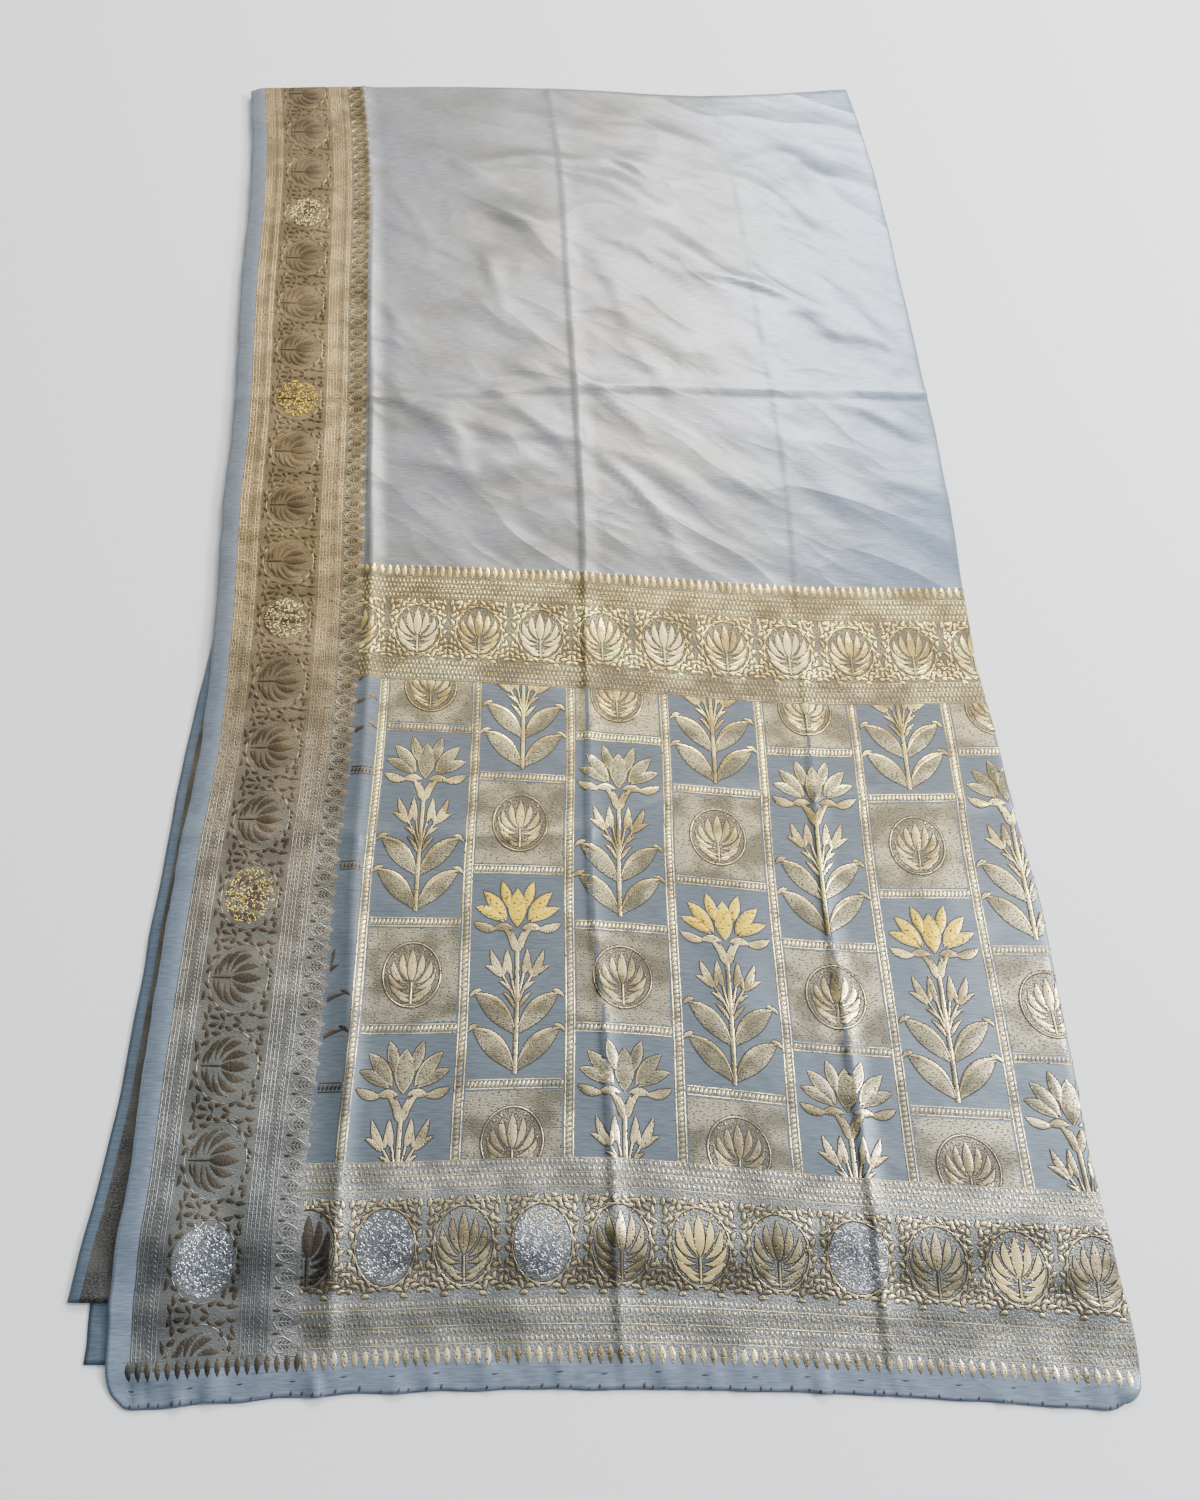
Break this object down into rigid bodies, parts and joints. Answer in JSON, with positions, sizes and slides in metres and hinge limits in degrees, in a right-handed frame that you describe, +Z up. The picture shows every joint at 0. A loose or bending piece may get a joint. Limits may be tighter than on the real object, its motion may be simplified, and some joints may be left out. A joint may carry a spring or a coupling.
{
  "type": "saree, folded and laid flat",
  "caption": "Brocade silk saree folded lengthwise and into lays, laid flat, with a woven gold border and end piece and a plain field.",
  "frame": {"origin": "centre of the folded cloth's box, on the surface it lies on", "axes": "+X from the selvedge edges towards the turned lengthwise fold, +Y from the sewn hem towards the far fold, +Z up"},
  "size_m": [0.5994, 1.078, 0.0124],
  "materials": {
    "silk_field": "satin",
    "woven_border": "satin",
    "woven_pallu": "satin",
    "plain_hem": "satin",
    "lower_lays": "satin"
  },
  "bodies": {
    "root": {"hidden_lays": "lower_lays", "third_lay": "lower_lays", "second_lay": "lower_lays", "border_pallu_stretch": "woven_border", "border_field_stretch": "woven_border", "pallu_stretch": "woven_pallu", "field_stretch": "silk_field", "end_hem": "plain_hem"}
  },
  "joints": []
}
